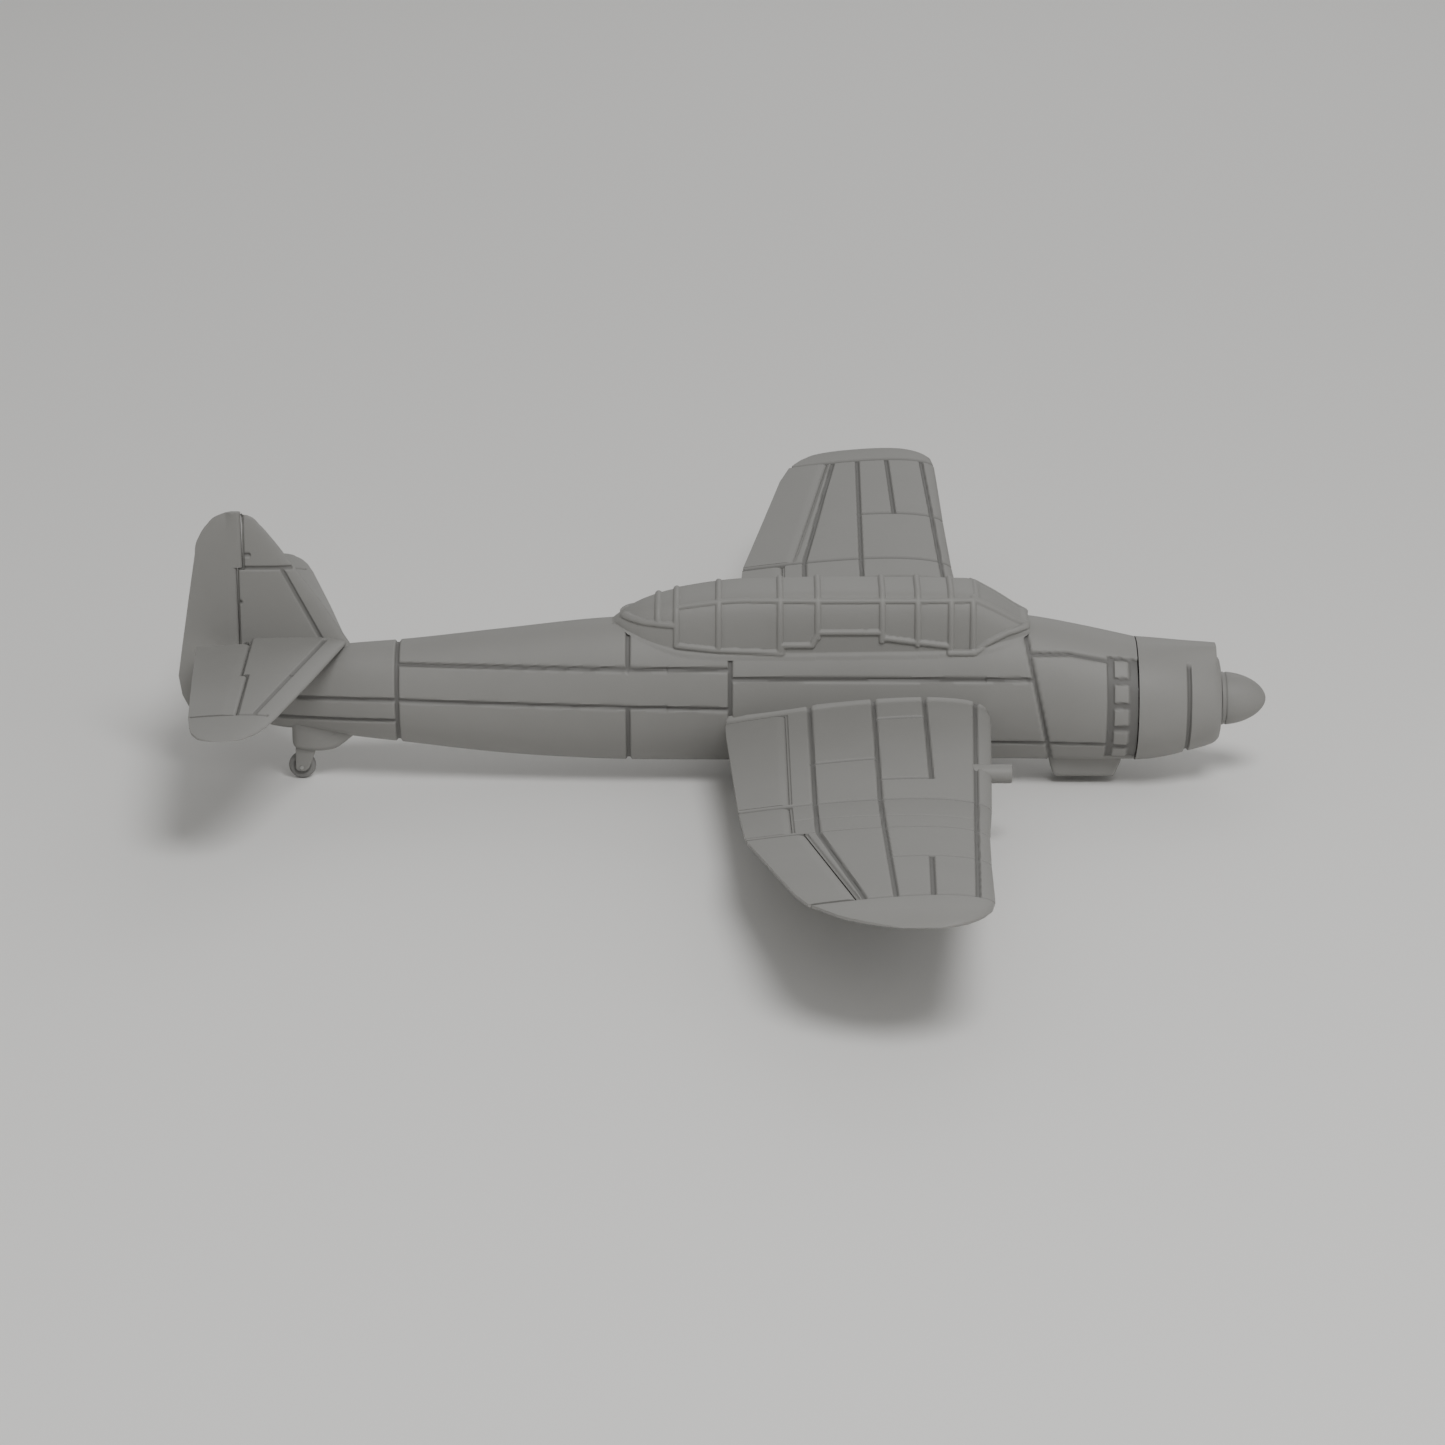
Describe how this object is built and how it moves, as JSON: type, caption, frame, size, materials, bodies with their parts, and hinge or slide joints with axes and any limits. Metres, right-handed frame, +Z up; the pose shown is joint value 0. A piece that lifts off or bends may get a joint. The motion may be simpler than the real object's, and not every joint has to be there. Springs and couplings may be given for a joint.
{
  "type": "radio-controlled warbird plane",
  "caption": "Small electric gull-wing warbird model with pinned control surfaces, servo rod linkages and a lift-off canopy hatch.",
  "frame": {"origin": "centre of the bounding box on the ground plane", "axes": "+X towards the nose, +Y towards the left wing tip, +Z up"},
  "size_m": [0.3999, 0.524, 0.1028],
  "materials": {
    "grey_plastic": "moulded satin grey, unpainted",
    "steel_wire": "drawn music wire",
    "carbon_tube": "pultruded carbon fibre",
    "white_nylon": "moulded nylon",
    "servo_case": "translucent blue case, shown solid",
    "motor_can": "dark rotor can and shaft",
    "motor_alloy": "turned alloy",
    "plywood": "light birch ply",
    "battery_wrap": "heat-shrink wrap",
    "dark_plastic": "moulded case",
    "black_plastic": "moulded black plastic",
    "wheel_rubber": "one-piece grey wheel"
  },
  "bodies": {
    "airframe": {"aileron_servo_left": "servo_case", "aileron_servo_right": "servo_case", "battery": "battery_wrap", "battery_tray": "plywood", "belly_scoop": "grey_plastic", "cowl": "grey_plastic", "dummy_engine": "black_plastic", "elevator_servo": "servo_case", "fin": "grey_plastic", "firewall": "plywood", "flap_servo_left": "servo_case", "flap_servo_right": "servo_case", "fuselage_left": "grey_plastic", "fuselage_right": "grey_plastic", "gear_socket_left": "plywood", "gear_socket_right": "plywood", "gun_barrel_left": "grey_plastic", "gun_barrel_right": "grey_plastic", "motor_base": "motor_alloy", "receiver": "dark_plastic", "rudder_servo": "servo_case", "spar_tube_left": "carbon_tube", "spar_tube_right": "carbon_tube", "speed_controller": "dark_plastic", "tail_hinge_pins": "steel_wire", "tail_wheel_fairing": "grey_plastic", "tail_wheel_strut": "grey_plastic", "tailplane": "grey_plastic", "wing_hinge_pins_left": "steel_wire", "wing_hinge_pins_right": "steel_wire", "wing_inner_left": "grey_plastic", "wing_inner_right": "grey_plastic", "wing_outer_left": "grey_plastic", "wing_outer_right": "grey_plastic"},
    "aileron_right": {"aileron_right": "grey_plastic"},
    "inner_flap_right": {"inner_flap_right": "grey_plastic"},
    "outer_flap_right": {"outer_flap_right": "grey_plastic"},
    "aileron_left": {"aileron_left": "grey_plastic"},
    "inner_flap_left": {"inner_flap_left": "grey_plastic"},
    "outer_flap_left": {"outer_flap_left": "grey_plastic"},
    "aileron_right_servo_arm": {"aileron_servo_arm_right": "white_nylon"},
    "aileron_right_rod": {"aileron_rod_right": "steel_wire"},
    "flap_right_servo_arm": {"flap_servo_arm_right": "white_nylon"},
    "flap_right_rod": {"flap_rod_right": "steel_wire"},
    "aileron_left_servo_arm": {"aileron_servo_arm_left": "white_nylon"},
    "aileron_left_rod": {"aileron_rod_left": "steel_wire"},
    "flap_left_servo_arm": {"flap_servo_arm_left": "white_nylon"},
    "flap_left_rod": {"flap_rod_left": "steel_wire"},
    "elevator": {"elevator_right": "grey_plastic", "elevator_left": "grey_plastic", "elevator_joiner": "steel_wire"},
    "elevator_servo_arm": {"elevator_servo_arm": "white_nylon"},
    "elevator_rod": {"elevator_rod": "steel_wire"},
    "rudder": {"rudder": "grey_plastic"},
    "rudder_servo_arm": {"rudder_servo_arm": "white_nylon"},
    "rudder_rod": {"rudder_rod": "steel_wire"},
    "canopy": {"canopy_hatch": "grey_plastic"},
    "propeller_drive": {"rotor": "motor_can", "spinner": "grey_plastic"},
    "tail_wheel": {"tail_wheel": "wheel_rubber"}
  },
  "joints": [
    {"name": "aileron_right_hinge", "type": "hinge", "parent": "airframe", "child": "aileron_right", "pos_m": [0.0264, -0.1488, 0.03243], "axis": [0.1622, -0.9755, 0.1485], "range_deg": [-25, 25]},
    {"name": "inner_flap_right_hinge", "type": "hinge", "parent": "airframe", "child": "inner_flap_right", "pos_m": [0.021, -0.022, 0.02901], "axis": [0.0074, -0.9992, -0.0383], "range_deg": [0, 40]},
    {"name": "outer_flap_right_hinge", "type": "hinge", "parent": "airframe", "child": "outer_flap_right", "pos_m": [0.0216, -0.1071, 0.02614], "axis": [0.0104, -0.9889, 0.1482], "range_deg": [0, 40]},
    {"name": "aileron_left_hinge", "type": "hinge", "parent": "airframe", "child": "aileron_left", "pos_m": [0.0264, 0.1488, 0.03243], "axis": [-0.1622, -0.9755, -0.1485], "range_deg": [-25, 25]},
    {"name": "inner_flap_left_hinge", "type": "hinge", "parent": "airframe", "child": "inner_flap_left", "pos_m": [0.021, 0.022, 0.02901], "axis": [-0.0074, -0.9992, 0.0383], "range_deg": [0, 40]},
    {"name": "outer_flap_left_hinge", "type": "hinge", "parent": "airframe", "child": "outer_flap_left", "pos_m": [0.0216, 0.1071, 0.02614], "axis": [-0.0104, -0.9889, -0.1482], "range_deg": [0, 40]},
    {"name": "aileron_right_servo_turn", "type": "hinge", "parent": "airframe", "child": "aileron_right_servo_arm", "pos_m": [0.05069, -0.16689, 0.03518], "axis": [0.1622, -0.9755, 0.1485], "range_deg": [-25, 25]},
    {"name": "aileron_right_rod_turn", "type": "hinge", "parent": "aileron_right_servo_arm", "child": "aileron_right_rod", "pos_m": [0.05069, -0.1681, 0.02727], "axis": [0.1622, -0.9755, 0.1485], "range_deg": [-25, 25]},
    {"name": "flap_right_servo_turn", "type": "hinge", "parent": "airframe", "child": "flap_right_servo_arm", "pos_m": [0.0423, -0.06181, 0.02748], "axis": [0.0074, -0.9992, -0.0383], "range_deg": [0, 40]},
    {"name": "flap_right_rod_turn", "type": "hinge", "parent": "flap_right_servo_arm", "child": "flap_right_rod", "pos_m": [0.0423, -0.06151, 0.01949], "axis": [0.0074, -0.9992, -0.0383], "range_deg": [-40, 0]},
    {"name": "aileron_left_servo_turn", "type": "hinge", "parent": "airframe", "child": "aileron_left_servo_arm", "pos_m": [0.05069, 0.16689, 0.03518], "axis": [-0.1622, -0.9755, -0.1485], "range_deg": [-25, 25]},
    {"name": "aileron_left_rod_turn", "type": "hinge", "parent": "aileron_left_servo_arm", "child": "aileron_left_rod", "pos_m": [0.05069, 0.1681, 0.02727], "axis": [-0.1622, -0.9755, -0.1485], "range_deg": [-25, 25]},
    {"name": "flap_left_servo_turn", "type": "hinge", "parent": "airframe", "child": "flap_left_servo_arm", "pos_m": [0.0423, 0.06181, 0.02748], "axis": [-0.0074, -0.9992, 0.0383], "range_deg": [0, 40]},
    {"name": "flap_left_rod_turn", "type": "hinge", "parent": "flap_left_servo_arm", "child": "flap_left_rod", "pos_m": [0.0423, 0.06151, 0.01949], "axis": [-0.0074, -0.9992, 0.0383], "range_deg": [-40, 0]},
    {"name": "elevator_hinge", "type": "hinge", "parent": "airframe", "child": "elevator", "pos_m": [-0.1742, 0, 0.0529], "axis": [0, -1, 0], "range_deg": [-25, 25]},
    {"name": "elevator_servo_turn", "type": "hinge", "parent": "airframe", "child": "elevator_servo_arm", "pos_m": [-0.0092, 0.0095, 0.0529], "axis": [0, -1, 0], "range_deg": [-25, 25]},
    {"name": "elevator_rod_turn", "type": "hinge", "parent": "elevator_servo_arm", "child": "elevator_rod", "pos_m": [-0.0092, 0.0095, 0.0449], "axis": [0, -1, 0], "range_deg": [-25, 25]},
    {"name": "rudder_hinge", "type": "hinge", "parent": "airframe", "child": "rudder", "pos_m": [-0.1786, 0, 0.024], "axis": [0, 0, 1], "range_deg": [-25, 25]},
    {"name": "rudder_servo_turn", "type": "hinge", "parent": "airframe", "child": "rudder_servo_arm", "pos_m": [-0.0156, 0, 0.032], "axis": [0, 0, 1], "range_deg": [-25, 25]},
    {"name": "rudder_rod_turn", "type": "hinge", "parent": "rudder_servo_arm", "child": "rudder_rod", "pos_m": [-0.0156, 0.008, 0.032], "axis": [0, 0, 1], "range_deg": [-25, 25]},
    {"name": "canopy_lift", "type": "slide", "parent": "airframe", "child": "canopy", "axis": [0, 0, 1], "range_m": [0, 0.05]},
    {"name": "motor_spin", "type": "hinge", "parent": "airframe", "child": "propeller_drive", "pos_m": [0.16, 0, 0.0311], "axis": [1, 0, 0], "continuous": true},
    {"name": "tail_wheel_spin", "type": "hinge", "parent": "airframe", "child": "tail_wheel", "pos_m": [-0.1554, 0, 0.005], "axis": [0, 1, 0], "continuous": true}
  ],
  "couplings": [
    {"joint": "aileron_left_hinge", "follows": "aileron_right_hinge", "ratio": -1},
    {"joint": "inner_flap_left_hinge", "follows": "inner_flap_right_hinge", "ratio": 1},
    {"joint": "outer_flap_right_hinge", "follows": "inner_flap_right_hinge", "ratio": 1},
    {"joint": "outer_flap_left_hinge", "follows": "inner_flap_right_hinge", "ratio": 1},
    {"joint": "aileron_right_servo_turn", "follows": "aileron_right_hinge", "ratio": 1},
    {"joint": "aileron_right_rod_turn", "follows": "aileron_right_hinge", "ratio": -1},
    {"joint": "flap_right_servo_turn", "follows": "inner_flap_right_hinge", "ratio": 1},
    {"joint": "flap_right_rod_turn", "follows": "inner_flap_right_hinge", "ratio": -1},
    {"joint": "aileron_left_servo_turn", "follows": "aileron_right_hinge", "ratio": -1},
    {"joint": "aileron_left_rod_turn", "follows": "aileron_right_hinge", "ratio": 1},
    {"joint": "flap_left_servo_turn", "follows": "inner_flap_right_hinge", "ratio": 1},
    {"joint": "flap_left_rod_turn", "follows": "inner_flap_right_hinge", "ratio": -1},
    {"joint": "elevator_servo_turn", "follows": "elevator_hinge", "ratio": 1},
    {"joint": "elevator_rod_turn", "follows": "elevator_hinge", "ratio": -1},
    {"joint": "rudder_servo_turn", "follows": "rudder_hinge", "ratio": 1},
    {"joint": "rudder_rod_turn", "follows": "rudder_hinge", "ratio": -1}
  ]
}
